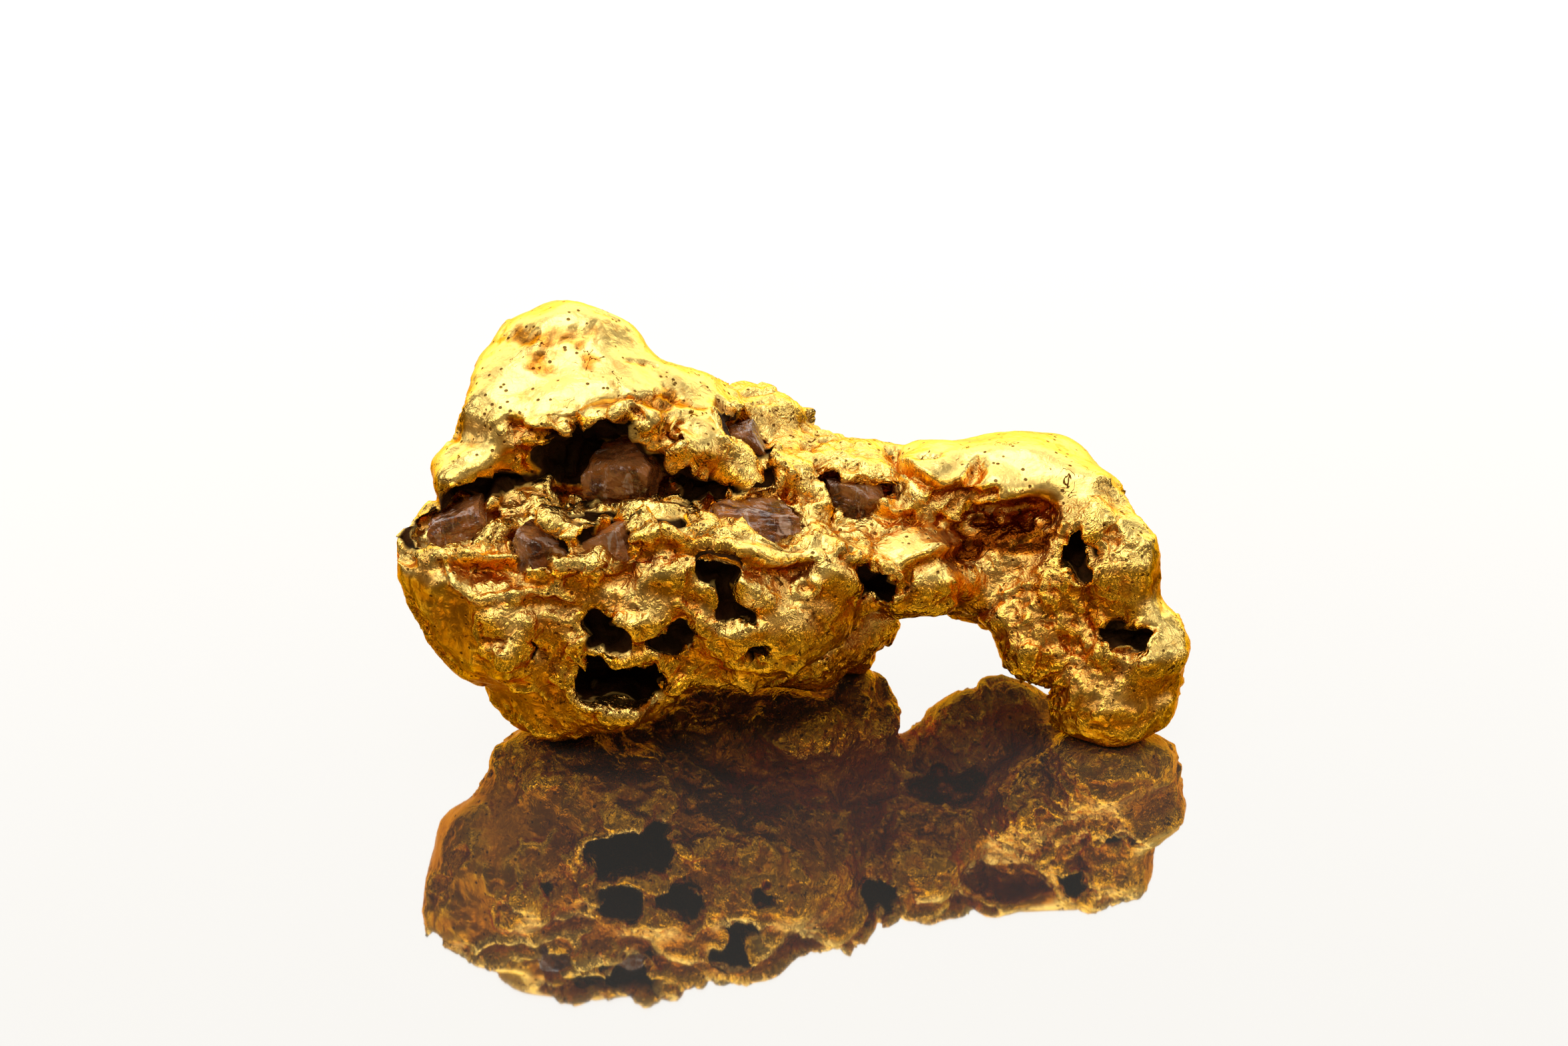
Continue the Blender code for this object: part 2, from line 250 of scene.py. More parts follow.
# %% Neighbours and normals
edges = np.empty(len(net.edges) * 2, dtype=np.int32)
net.edges.foreach_get("vertices", edges)
edges = edges.reshape(-1, 2)
ends = np.concatenate([edges[:, 0], edges[:, 1]])
others = np.concatenate([edges[:, 1], edges[:, 0]])
links = np.maximum(np.bincount(ends, minlength=len(points)), 1)


def around(values):
    """The mean of each point's neighbours, for one number or three numbers a point."""
    if values.ndim == 1:
        return np.bincount(ends, weights=values[others], minlength=len(links)) / links
    return np.stack([around(values[:, axis]) for axis in range(values.shape[1])], axis=1)


def eased(values, times, step=0.6):
    """Values moved towards the mean of their neighbours again and again."""
    for _ in range(times):
        values = values + step * (around(values) - values)
    return values


def outward(mesh, places):
    """Normals of the mesh when its corners are at places."""
    mesh.vertices.foreach_set("co", places.ravel())
    mesh.update()
    flat = np.empty(len(places) * 3)
    mesh.vertex_normals.foreach_get("vector", flat)
    return flat.reshape(-1, 3)


print("a point has", round(float(links.mean()), 2), "neighbours on average")

# %% [markdown]
# ## Where the pits are
#
# The pits are cut into the CAD solid already. Their places and sizes are needed again here, so that
# each gets a sharp, torn rim, and so that its inside can be darkened, with soil and with painted shade.
# A pit is a body between an ellipsoid and a box: the sum of the distances along its three axes, each
# divided by its radius and raised to a power. A power of 2 gives an ellipsoid, and 6 gives nearly a box.
#
# Some pits are not darkened inside, some have smooth rims, and the square ones keep straighter edges
# than the others, so each kind has its own list. The wall farthest in gets the most soil and painted shade.

# %% The pits, in millimetres
# name: (place), (radii), turn about the depth axis in degrees, power
PITS = {
    "under_the_peak": ((-5.71, -1.69, 8.7), (2.0, 2.3, 1.30), 0, 2.4),
    "under_the_peak_right": ((-3.11, -1.79, 8.0), (1.7, 1.9, 0.5), 8, 2.4),
    "under_the_peak_left": ((-8.61, -1.99, 8.2), (2.2, 1.7, 0.4), -6, 2.4),
    "left_notch": ((-10.51, -2.89, 7.5), (1.3, 1.5, 0.44), -22, 2.6),
    "front_left": ((-7.71, -3.88, 7.3), (0.95, 0.9, 0.65), 20, 2.6),
    "front_right": ((-5.51, -3.88, 7.4), (0.8, 0.9, 0.55), -10, 2.6),
    "centre": ((-0.61, -2.79, 7.4), (1.2, 0.9, 0.5), 0, 2.6),
    "pale": ((-2.21, -1.99, 7.5), (0.65, 0.9, 0.45), 0, 2.6),
    "saddle": ((1.89, -0.69, 7.3), (1.1, 0.9, 0.6), 10, 2.6),
    "crevice": ((-1.31, -0.09, 8.8), (0.4, 1.3, 1.25), -28, 2.6),
    "rectangle": ((-5.30, -4.09, 3.03), (1.35, 2.0, 0.82), 4, 6.0),
    "square": ((-5.71, -4.79, 4.70), (0.72, 1.3, 0.58), 10, 4.0),
    "waist_top": ((-2.31, -4.89, 6.62), (0.62, 1.1, 0.40), 10, 3.5),
    "waist": ((-2.11, -4.99, 6.04), (0.28, 1.1, 0.60), -8, 3.0),
    "waist_bottom": ((-1.76, -5.09, 5.48), (0.62, 1.1, 0.40), -6, 3.5),
    "slanted": ((-3.61, -4.89, 4.6), (0.75, 0.8, 0.3), -28, 3.0),
    "small_slot": ((-1.26, -5.29, 4.1), (0.28, 0.6, 0.24), 0, 2.5),
    "under_the_tip": ((2.54, -3.19, 5.5), (0.5, 1.1, 0.6), 30, 2.6),
    "leg_pit": ((8.68, -1.99, 5.78), (0.37, 1.1, 0.66), 14, 3.0),
    "leg_slot": ((10.06, -3.49, 3.62), (0.68, 1.0, 0.36), 20, 3.0),
    "upper_slot": ((9.79, -2.59, 6.6), (0.24, 0.8, 0.48), 0, 2.6),
    "corner_slot": ((9.69, -1.29, 7.3), (0.65, 0.8, 0.28), 45, 2.6),
    "left_slit": ((-10.61, -3.59, 3.4), (0.45, 0.5, 0.22), 40, 2.5),
    "left_slit_high": ((-11.51, -3.29, 4.6), (0.5, 0.5, 0.16), 55, 2.5),
    "left_end": ((-10.92, 0.42, 6.4), (0.90, 0.6, 0.50), 0, 2.8),
    "flank_hole": ((-7.92, -4.39, 4.1), (0.26, 0.6, 0.34), 0, 2.5),
    "back_hollow": ((-5.51, 5.11, 5.6), (1.5, 1.2, 1.05), 25, 2.6),
    "back_left": ((-8.91, 3.72, 4.2), (0.75, 1.0, 0.60), -15, 3.0),
    "back_right": ((-1.91, 4.52, 6.3), (0.85, 1.0, 0.50), 20, 3.0),
    "back_low": ((0.29, 4.12, 3.5), (0.60, 1.0, 0.75), 0, 3.0),
    "back_of_the_bar": ((4.89, 3.02, 6.9), (0.95, 0.8, 0.40), -12, 2.8),
    "back_of_the_leg": ((7.09, 4.22, 4.2), (0.60, 0.9, 0.70), 12, 3.0),
    "back_of_the_peak": ((-6.91, 5.32, 9.6), (0.70, 0.9, 0.45), -20, 2.8),
}


def pit_value(places, name):
    """1 on the pit's wall, less inside, more outside: (|x/a|^p + |y/b|^p + |z/c|^p) ^ (1/p)."""
    middle, radii, turn, power = PITS[name]
    angle = math.radians(turn)
    x, y, z = (places - np.array(middle)).T
    along = x * math.cos(angle) - z * math.sin(angle)
    across = x * math.sin(angle) + z * math.cos(angle)
    terms = [np.abs(v / r) ** power for v, r in zip((along, y, across), radii)]
    return sum(terms) ** (1.0 / power)


pit_walls = {name: pit_value(points, name) for name in PITS}
print("there are", len(pit_walls), "pits")

# %% Kinds of pits
# The first two lists hold pits that keep gold inside; every other pit is darkened inside with soil and
# painted shade.
SMALL_UNDARKENED_PITS = ("left_slit", "left_slit_high", "corner_slot", "upper_slot", "left_end")
UNDARKENED_PITS = ("centre", "pale", "saddle") + SMALL_UNDARKENED_PITS
DARKENED_PITS = [name for name in PITS if name not in UNDARKENED_PITS]
SMOOTH_RIMS = ("left_slit", "left_slit_high", "under_the_peak_left", "corner_slot")
TORN_RIMS = [name for name in PITS if name not in SMOOTH_RIMS]
STRAIGHT_PITS = ("rectangle", "square", "waist_top", "waist", "waist_bottom")


def nearest_wall(names):
    """The smallest of these pits' values at each point."""
    return np.min([pit_walls[name] for name in names], axis=0)


nearest_pit = nearest_wall(PITS)
nearest_darkened = nearest_wall(DARKENED_PITS)
nearest_torn = nearest_wall(TORN_RIMS)
nearest_straight = nearest_wall(STRAIGHT_PITS)
print("share of the net on a pit's wall:", round(float(np.mean(nearest_pit < 1.12)), 2))

# %% Bottoms of the pits
BACK_FROM = 2.0


def far_wall(places, name):
    """1 on the half of a pit's wall that lies farther in, 0 on the half at its mouth. The mouth is
    at the front, or at the back for a pit whose middle lies there."""
    middle, radii, _, _ = PITS[name]
    inwards = -1.0 if middle[1] > BACK_FROM else 1.0
    far = inwards * (places[:, 1] - middle[1]) / radii[1]
    return soft_step(pit_walls[name], 1.10, 0.98) * soft_step(far, 0.0, 0.3)


bottoms = np.max([far_wall(points, name) for name in DARKENED_PITS], axis=0)
print("share of the net in a pit's bottom:", round(float(np.mean(bottoms > 0.5)), 2))

# %% [markdown]
# ## Drawing on the surface through the camera
#
# The photograph shows many small lips, cracks and plates, each at its own place. To put them where
# they belong, every point of the net is projected to the picture: subtract the camera's place, and
# divide the parts along right and up by the part along the line of sight. A line drawn on the picture
# then has a distance in millimetres to each point of the net that the camera sees. A point counts as
# seen if nothing of the net lies much nearer to the camera in the same small square of the picture.

# %% Picture places of the net's points
PICTURE = (2350, 1568)
FOCAL = lens.lens / lens.sensor_width * PICTURE[0]
SQUARE = 5.0


def in_picture(places):
    """Picture column, row and depth in mm: u = w/2 + f x/d, v = h/2 - f y/d, for x, y, d along the
    camera's right, up and line of sight."""
    right, up, back = (np.array(axis) for axis in camera_axes(PITCH, TIP))
    away = places - np.array(EYE) / MM
    depth = -(away @ back)
    column = PICTURE[0] / 2 + FOCAL * (away @ right) / depth
    row = PICTURE[1] / 2 - FOCAL * (away @ up) / depth
    return column, row, depth


def seen(column, row, depth):
    """1 within 0.5 mm of the nearest point in the same square of the picture, falling to 0 at 0.9 mm."""
    square = (column // SQUARE).astype(np.int64) + 1000 * (row // SQUARE).astype(np.int64)
    names, which = np.unique(square, return_inverse=True)
    nearest = np.full(len(names), 1e9)
    np.minimum.at(nearest, which, depth)
    return soft_step(depth - nearest[which], 0.9, 0.5)


column, row, depth = in_picture(points)
in_view = eased(seen(column, row, depth), 4)
mm_per_pixel = depth / FOCAL
shake = [waves(points, 0.45, seed=n) * 4.5 + waves(points, 0.17, seed=n + 9) * 2.0 for n in (301, 302)]
drawn = np.stack([column + shake[0], row + shake[1]], axis=1)
print("share of the net that the camera sees:", round(float(in_view.mean()), 2))

# %% Distance to a drawn line, and to a drawn spot


def to_line(line):
    """For each point the distance in mm to a line of picture places, and its side: 1 for above or
    right of the line's direction of travel, -1 for the other. Each stretch a-b gives the distance to
    a + t (b - a), with t held between 0 and 1, and the smallest one counts."""
    best = np.full(len(drawn), 1e9)
    side = np.ones(len(drawn))
    for start, end in zip(line[:-1], line[1:]):
        start, way = np.array(start, float), np.array(end, float) - np.array(start, float)
        t = np.clip((drawn - start) @ way / (way @ way), 0.0, 1.0)
        apart = drawn - start - t[:, None] * way
        distance = np.hypot(apart[:, 0], apart[:, 1]) * mm_per_pixel
        turn = np.sign(apart[:, 0] * way[1] - apart[:, 1] * way[0])
        side = np.where(distance < best, turn, side)
        best = np.minimum(best, distance)
    return best, side


def to_spot(middle, radii, turn=0.0):
    """0 in the middle of an ellipse drawn on the picture, 1 on its edge. The radii are in mm."""
    across = (column - middle[0]) * mm_per_pixel
    down = (row - middle[1]) * mm_per_pixel
    angle = math.radians(turn)
    along = across * math.cos(angle) + down * math.sin(angle)
    beside = down * math.cos(angle) - across * math.sin(angle)
    return np.hypot(along / radii[0], beside / radii[1])


def ridge(line, height, width):
    """A crest along a line: height * exp(-(distance / width)^2)."""
    distance, _ = to_line(line)
    return in_view * height * np.exp(-((distance / width) ** 2))


def ledge(line, height, drop, width):
    """A lip along a line, with the surface below it set back by drop, which fades over 5 widths."""
    distance, side = to_line(line)
    lip = height * np.exp(-((distance / width) ** 2))
    below = drop * soft_step(side * distance, 0.0, -0.6 * width) * soft_step(distance, 5.0 * width, width)
    return in_view * (lip - below)


def dimple(middle, radii, deep, turn=0.0):
    """A hollow with a torn edge: deep * step(1 - reach), with waves added to the reach."""
    reach = to_spot(middle, radii, turn) + 0.8 * many_waves(points, 0.36, 2, seed=331)
    return in_view * deep * soft_step(reach, 1.15, 0.7)


print("a pixel is", round(float(mm_per_pixel.mean()), 4), "mm wide at the nugget")

# %% [markdown]
# ## Lips, cracks and plates on the seen side
#
# The numbers in pairs are picture places in pixels, and the others are real sizes in millimetres:
# how high, how wide. A lip is a crest, a crack is a crest turned inwards, and a ledge has its lower
# side set back, as where a thin plate of gold grew over an edge of the vanished crystal.

# %% Lines drawn on the nugget
# name: [picture places], height, width
LIPS = {
    "left_crest": ([(684, 838), (735, 836), (784, 843), (791, 862)], 0.16, 0.16),
    "left_fold": (
        [(665, 841), (677, 865), (696, 884), (716, 901), (750, 896), (786, 889), (834, 884), (856, 896)],
        0.20, 0.13,
    ),
    "flap": ([(721, 971), (745, 971), (764, 976), (764, 998), (759, 1013)], 0.12, 0.07),
    "short_flap": ([(810, 923), (842, 928), (871, 923)], 0.10, 0.07),
    "low_flap": ([(769, 1027), (798, 1030), (822, 1044)], 0.12, 0.08),
    "beside_rectangle": ([(856, 930), (878, 950), (871, 974), (868, 1000)], 0.14, 0.10),
    "thin_crest": (
        [(840, 745), (880, 751), (917, 754), (952, 769), (989, 769), (1024, 772), (1067, 792), (1104, 806)],
        0.20, 0.13,
    ),
    "pocket_wall": ([(840, 843), (880, 829), (897, 849), (917, 858), (926, 840)], 0.20, 0.12),
    "curly_ring": (
        [(1190, 880), (1205, 868), (1226, 872), (1226, 886), (1208, 894), (1190, 888)],
        0.12, 0.07,
    ),
    "below_waist": ([(1015, 904), (1041, 918), (1064, 929), (1092, 935), (1127, 938)], 0.14, 0.09),
    "rectangle_edge": (
        [(868, 990), (909, 993), (952, 987), (989, 984), (995, 1013), (1006, 1030), (1015, 1015)],
        0.15, 0.09,
    ),
    "bottom_rim": (
        [(900, 1078), (960, 1062), (1006, 1022), (1041, 1018)]
        + [(1081, 1024), (1138, 1024), (1178, 1015), (1201, 990)],
        0.12, 0.14,
    ),
    "torn_lip": ([(926, 628), (950, 619), (978, 616), (992, 640)], 0.14, 0.10),
    "slope_lip": ([(940, 636), (972, 655), (985, 690), (1015, 700), (1060, 704)], 0.16, 0.12),
    "saddle_lip": ([(1100, 720), (1125, 702), (1165, 700), (1190, 715)], 0.20, 0.12),
    "bead_plate": ([(1290, 772), (1310, 760), (1332, 748), (1358, 766)], 0.22, 0.10),
    "bar_lip": ([(1421, 776), (1457, 771), (1477, 778)], 0.16, 0.10),
    "knob_crack_edge": ([(1251, 822), (1285, 826)], 0.10, 0.08),
    "leg_crest": ([(1500, 893), (1530, 880), (1568, 876), (1600, 884)], 0.12, 0.08),
    "foot_curl": (
        [(1630, 1080), (1648, 1068), (1680, 1066), (1705, 1074), (1700, 1092), (1665, 1100), (1635, 1094)],
        0.05, 0.09,
    ),
    "notch_lip": ([(640, 805), (668, 800), (700, 780), (735, 755), (752, 725), (778, 722)], 0.20, 0.14),
    "pocket_back": ([(790, 760), (800, 772), (846, 780)], 0.16, 0.12),
}
# name: [picture places], height, drop, width
LEDGES = {
    "main_crest": (
        [(923, 846), (940, 826), (960, 815), (1000, 804), (1041, 815)]
        + [(1081, 817), (1124, 829), (1156, 846), (1190, 842)],
        0.10, 0.22, 0.20,
    ),
    "peak_lip": (
        [(788, 633), (812, 643), (847, 647), (860, 636), (881, 640), (912, 629), (926, 628)],
        0.12, 0.20, 0.16,
    ),
    "top_edge": ([(672, 838), (735, 834), (782, 840)], 0.06, 0.18, 0.16),
    "knob_edge": (
        [(1259, 822), (1287, 836), (1315, 848), (1338, 856), (1370, 834), (1437, 816)],
        0.10, 0.14, 0.18,
    ),
    "second_plate": ([(1350, 686), (1390, 712), (1413, 728), (1437, 719), (1452, 700)], 0.10, 0.20, 0.14),
    "first_plate": ([(1250, 705), (1275, 726), (1300, 733), (1330, 722), (1334, 695)], 0.10, 0.20, 0.14),
    "right_block": ([(1640, 925), (1665, 936), (1712, 944)], 0.10, 0.16, 0.14),
}
# name: [picture places], depth, width
CRACKS = {
    "top_crack": ([(895, 464), (915, 473), (929, 478)], 0.12, 0.06),
    "slope_crack": ([(936, 540), (960, 542), (984, 547)], 0.10, 0.05),
    "slope_crack_high": ([(995, 530), (1022, 540)], 0.10, 0.05),
    "slope_crack_low": ([(922, 574), (936, 592), (943, 602)], 0.14, 0.06),
    "flank_crack": ([(607, 899), (628, 925), (643, 964), (662, 984)], 0.14, 0.07),
    "wrinkle_crack": ([(718, 935), (725, 954), (740, 964), (759, 962)], 0.18, 0.08),
    "plate_gap": ([(1334, 690), (1340, 712), (1332, 735)], 0.26, 0.10),
    "bar_slit": ([(1378, 684), (1395, 680), (1410, 677)], 0.22, 0.08),
    "leg_groove": ([(1631, 855), (1623, 893), (1635, 917), (1631, 950)], 0.22, 0.13),
    "leg_crease": ([(1568, 881), (1615, 886), (1639, 893)], 0.14, 0.08),
    "knob_and_leg": ([(1457, 925), (1481, 913), (1501, 893)], 0.22, 0.09),
    "tip_crack": ([(1245, 806), (1253, 824)], 0.16, 0.07),
    "peak_edge": ([(692, 560), (686, 600), (680, 650)], 0.16, 0.12),
    "rim_crease": ([(1041, 1004), (1090, 1008), (1140, 1010)], 0.12, 0.10),
}
LIFT = 1.75
drawing = sum(ridge(line, LIFT * high, wide) for line, high, wide in LIPS.values())
drawing += sum(ledge(line, LIFT * high, LIFT * drop, wide) for line, high, drop, wide in LEDGES.values())
drawing -= sum(ridge(line, deep, wide) for line, deep, wide in CRACKS.values())
print("drawn:", len(LIPS), "lips,", len(LEDGES), "ledges and", len(CRACKS), "cracks")

# %% Torn hollows, bulges, stains and painted shade
# name: (picture place), (radii), depth, turn in degrees
HOLLOWS = {
    "torn_patch": ((975, 598), (0.65, 0.24), 0.26, 4),
    "torn_hollow": ((1003, 636), (0.42, 0.42), 0.26, 0),
    "peak_left": ((677, 648), (0.22, 0.26), 0.24, 0),
    "orange_hollow": ((1445, 748), (0.80, 0.36), 0.26, -12),
    "under_plates": ((1378, 778), (0.60, 0.20), 0.36, 8),
    "beside_tip": ((1272, 826), (0.34, 0.12), 0.26, 12),
    "front_facet": ((740, 865), (0.75, 0.28), 0.16, 8),
    "small_pit": ((1133, 987), (0.26, 0.26), 0.40, 0),
    "pale_gap": ((1080, 760), (0.40, 0.50), 0.20, 0),
    "saddle_cave": ((1160, 745), (0.80, 0.26), 0.26, 0),
    "wall_shade": ((1130, 862), (0.60, 0.16), 0.14, 20),
    "plate_cave": ((1310, 745), (0.60, 0.18), 0.26, 0),
}
# name: (picture place), (radii), height, turn in degrees
BULGES = {
    "waist_lobe": ((1137, 893), (0.62, 0.55), 0.26, -10),
    "first_plate": ((1291, 707), (0.90, 0.50), 0.16, -8),
    "left_bulge": ((716, 690), (0.90, 0.55), 0.14, 0),
    "right_block": ((1685, 880), (0.85, 1.00), 0.14, 0),
    "rectangle_lip": ((945, 1076), (0.95, 0.26), 0.16, -6),
}
# Orange spots, partly stain and partly painted shade on walls and under edges; the spots under the bar and
# beside the knob reach 1 and are a painted shadow of dark brown.
# name: (picture place), (radii), amount from 0 to 1, turn in degrees
STAIN_AND_SHADE_SPOTS = {
    "top_band": ((832, 502), (1.9, 0.34), 0.72, -2),
    "top_low": ((812, 543), (0.55, 0.28), 0.72, 10),
    "top_spot": ((886, 538), (0.30, 0.26), 0.65, 0),
    "slope_torn": ((985, 600), (1.1, 0.45), 0.75, 8),
    "bulge_edge": ((800, 690), (0.9, 0.25), 0.7, 0),
    "bar_belly": ((1540, 756), (2.2, 0.36), 0.28, -4),
    "under_the_bar": ((1508, 796), (2.0, 0.68), 1.0, -3),
    "beside_the_knob": ((1458, 812), (0.60, 0.75), 1.0, 0),
    "flank_low": ((640, 960), (0.9, 1.2), 0.55, 20),
    "flank_high": ((628, 860), (0.7, 0.9), 0.45, 0),
    "left_bulge_low": ((700, 742), (1.2, 0.45), 0.55, -6),
    "waist_patch": ((1060, 845), (0.7, 0.55), 0.45, 0),
    "front_patch": ((925, 905), (0.8, 0.5), 0.50, 0),
    "rim_low": ((1080, 1060), (1.6, 0.30), 0.60, -8),
    "foot_patch": ((1660, 1085), (0.7, 0.35), 0.60, 0),
    "foot_side": ((1570, 1030), (0.5, 0.9), 0.50, 20),
    "leg_groove": ((1632, 905), (0.35, 1.0), 0.75, 0),
    "peak_edge": ((690, 590), (0.35, 1.3), 0.55, 8),
    "saddle_wall": ((1110, 760), (0.8, 0.6), 0.50, 0),
    "knob_wall": ((1330, 870), (0.5, 0.7), 0.40, 0),
}
stain_and_shade = np.zeros(len(points))
ragged = 0.40 * many_waves(points, 0.7, 2, seed=341) + 0.75 * waves(points, 0.30, seed=347)
# A hollow is also painted orange in step with its depth: painted shade in the dent.
for middle, radii, deep, turn in HOLLOWS.values():
    hollow = dimple(middle, radii, deep, turn)
    drawing -= hollow
    stain_and_shade = np.maximum(stain_and_shade, np.clip(hollow / 0.28, 0.0, 0.8))
for middle, radii, high, turn in BULGES.values():
    drawing += in_view * high * soft_step(to_spot(middle, radii, turn), 1.15, 0.3)
for middle, radii, amount, turn in STAIN_AND_SHADE_SPOTS.values():
    reach = to_spot(middle, radii, turn) + ragged
    stain_and_shade = np.maximum(stain_and_shade, in_view * amount * soft_step(reach, 1.15, 0.55))
drawing -= 0.10 * stain_and_shade * (1.0 - threads(points, 0.35, seed=351))
print("the drawing goes from", round(float(drawing.min()), 2), "to", round(float(drawing.max()), 2), "mm")

# %% [markdown]
# ## Worn and rough places
#
# What stands out gets rubbed: the dome of the peak, the top of the bar, the knob, the left flank and
# the rounded rim at the bottom. Soft balls around those places say how worn the metal is there. The
# leg has a finish of its own, a net of small curly ridges, where gold grew between tiny crystals.

# %% Masks for wear, for the leg and for the crumpled front


def soft_ball(places, middle, radii):
    """1 in the middle of an ellipsoid, falling to 0 at 1.4 times its radii."""
    reach = np.sqrt(np.sum(((places - np.array(middle)) / np.array(radii)) ** 2, axis=1))
    return soft_step(reach, 1.4, 0.6)


home = eased(points, 3)
bends = 0.35 * many_waves(home, 1.3, 2, seed=5)
# (place), (radii), amount from 0 to 1
WORN_PLACES = [
    ((-6.0, 1.5, 11.6), (4.6, 4.8, 2.2), 1.0),
    ((-3.6, 0.6, 10.0), (2.8, 2.8, 1.3), 0.85),
    ((-11.0, -2.0, 5.0), (1.9, 3.6, 2.8), 0.95),
    ((-9.4, -3.6, 2.6), (2.0, 2.0, 1.7), 0.7),
    ((7.0, 0.2, 8.0), (4.4, 2.8, 1.2), 1.0),
    ((4.2, -2.4, 6.2), (1.6, 1.5, 0.8), 0.85),
    ((11.2, -2.6, 5.6), (1.2, 2.5, 2.0), 0.6),
    ((9.8, -4.0, 0.9), (2.2, 1.8, 1.3), 0.55),
    ((0.2, -4.4, 7.0), (2.4, 1.6, 0.8), 0.7),
    ((0.6, -4.8, 3.2), (2.2, 1.6, 1.4), 0.5),
    ((-5.2, -4.6, 1.6), (3.0, 1.6, 1.0), 0.5),
    ((-10.0, -1.0, 9.0), (1.6, 1.8, 1.2), 0.85),
    ((10.1, -2.4, 7.0), (0.9, 1.3, 0.7), 0.8),
    ((10.9, -3.6, 3.6), (1.0, 1.2, 0.7), 0.8),
]
worn = np.zeros(len(home))
for middle, radii, amount in WORN_PLACES:
    worn = np.maximum(worn, amount * soft_step(soft_ball(home, middle, radii) + bends, 0.25, 0.75))
worn *= soft_step(nearest_pit, 1.0, 1.35) * soft_step(drawing, -0.16, -0.04)
variety = 0.30 + 0.70 * soft_step(waves(home, 2.4, seed=15), -0.35, 0.25)
rough = (1.0 - worn) * variety
leg = soft_ball(home, (8.2, -3.0, 3.4), (2.1, 2.4, 3.2))
crumple = in_view * soft_step(to_spot((790, 965), (1.9, 1.7)), 1.3, 0.6)
print("worn share of the surface:", round(float(worn.mean()), 2))

# %% [markdown]
# ## Pressing the detail in
#
# The detail goes in from coarse to fine, and after each step the normals are worked out again, so
# that small folds stand on the sides of large ones. The steps are dents and swellings, sharp crests
# with furrows beside them, torn rims round the pits, the net of ridges on the leg, and small holes.
# Where the nugget rests on its flat spots nothing is moved, so it still stands on the floor.
#
# Gold tears in flat scraps, so near a pit the net is also shifted sideways, by waves cut into flat
# steps. That makes the rim jagged, and less so at the pits that keep straight edges.

# %% Heights of the coarse detail, in millimetres
DENT = 0.12
CREST = 0.15
STEP = 0.15
FACET = 0.21
RIM_LIP = 0.16
RIM_SHIFT = 0.34
STAIR_ROUNDS = 9
print("dents, crests, steps and facets:", DENT, CREST, STEP, FACET)

# %% Dents, crests, rims and the drawing
resting = soft_step(home[:, 2], 0.02, 0.6)
torn = pushed(home, 0.9, 0.35, seed=11)
dents = DENT * many_waves(home, 1.9, 2, seed=21) * (0.6 + 0.4 * rough)
calm = soft_step(nearest_pit, 0.90, 1.10)
crests = CREST * (folds(torn, 1.30, 2, seed=31) - 0.35) * (0.15 + 0.85 * rough)
steps = STEP * terraces(many_waves(torn, 1.40, 3, seed=36), 3.5, 0.25) * (0.12 + 0.88 * rough)
facets = FACET * cells(torn, 1.15, seed=38)[2] * (0.03 + 0.97 * rough)
chance = (crests + steps + facets) * (0.3 + 0.7 * calm)
not_straight = soft_step(nearest_straight, 1.25, 1.60)
lips = RIM_LIP * soft_step(nearest_torn, 1.5, 1.08) * soft_step(folds(torn, 0.45, 2, seed=41), 0.25, 0.75)
lips *= soft_step(nearest_torn, 0.98, 1.06) * (0.35 + 0.65 * not_straight)
keep_sharp = 1.0 - 0.9 * soft_step(np.abs(nearest_pit - 1.0), 0.30, 0.05)
# the stairs of the voxel net are eased away, and a worn place takes the shape of a far smoother copy
base = points.copy()
for _ in range(STAIR_ROUNDS):
    base += (0.6 * keep_sharp)[:, None] * (around(base) - base)
round_copy = eased(points, 40)
round_copy += eased(points - round_copy, 40)
base += (worn * keep_sharp)[:, None] * (round_copy - base)
shifts = [terraces(many_waves(home, 0.9, 2, seed=n), 2.5, 0.5) for n in (25, 27, 29)]
bending = soft_step(nearest_torn, 1.7, 1.2) * (0.30 + 0.70 * not_straight)
shifts = np.stack(shifts, axis=1) * bending[:, None]
base += RIM_SHIFT * resting[:, None] * shifts
print("rims are shifted by", round(float(np.abs(RIM_SHIFT * shifts).max()), 2), "mm at most")
normal = outward(net, eased(base, 3))
coarse = base + normal * ((dents + chance - 0.03 + lips * rough + drawing) * resting)[:, None]
print("coarse detail moves points by", round(float(np.abs(coarse - base).max()), 2), "mm at most")

# %% Wrinkles, ridges on the leg, and holes
# in curls, wrinkles and pimples, a number in front is a height and one in brackets a width, in mm
flat_leg = pushed(home, 0.50, 0.30, seed=61) * np.array([0.75, 1.0, 1.35])
curls = 0.19 * threads(flat_leg, 0.60, seed=62) + 0.10 * threads(flat_leg, 0.38, seed=63) - 0.06
holes_near, hole_mark, _ = cells(pushed(home, 0.4, 0.10, seed=71), 0.80, seed=72)
hole_size = 0.10 + 0.16 * soft_step(hole_mark, 0.55, 1.0)
holes = soft_step(holes_near, hole_size, hole_size * 0.35) * soft_step(hole_mark, 0.55, 0.7)
bent = pushed(home, 0.55, 0.30, seed=81)
wrinkles = 0.10 * threads(bent, 1.10, seed=82) + 0.04 * threads(bent, 0.55, seed=83) - 0.02
pimples = 0.020 * many_waves(home, 0.22, 2, seed=91)
fine = wrinkles * (0.15 + 0.85 * rough + 0.6 * crumple) + pimples * (0.3 + 0.4 * rough)
fine += curls * leg * (0.5 + 0.5 * rough)
fine -= 0.13 * holes * (0.10 + 0.90 * rough)
fine *= 0.4 + 0.6 * calm
normal = outward(net, eased(coarse, 1))
finished = coarse + normal * (fine * resting)[:, None]
finished = eased(finished, 1, 0.20)
finished[:, 2] = np.maximum(finished[:, 2], 0.0)
print("fine detail moves points by", round(float(np.abs(fine).max()), 2), "mm at most")
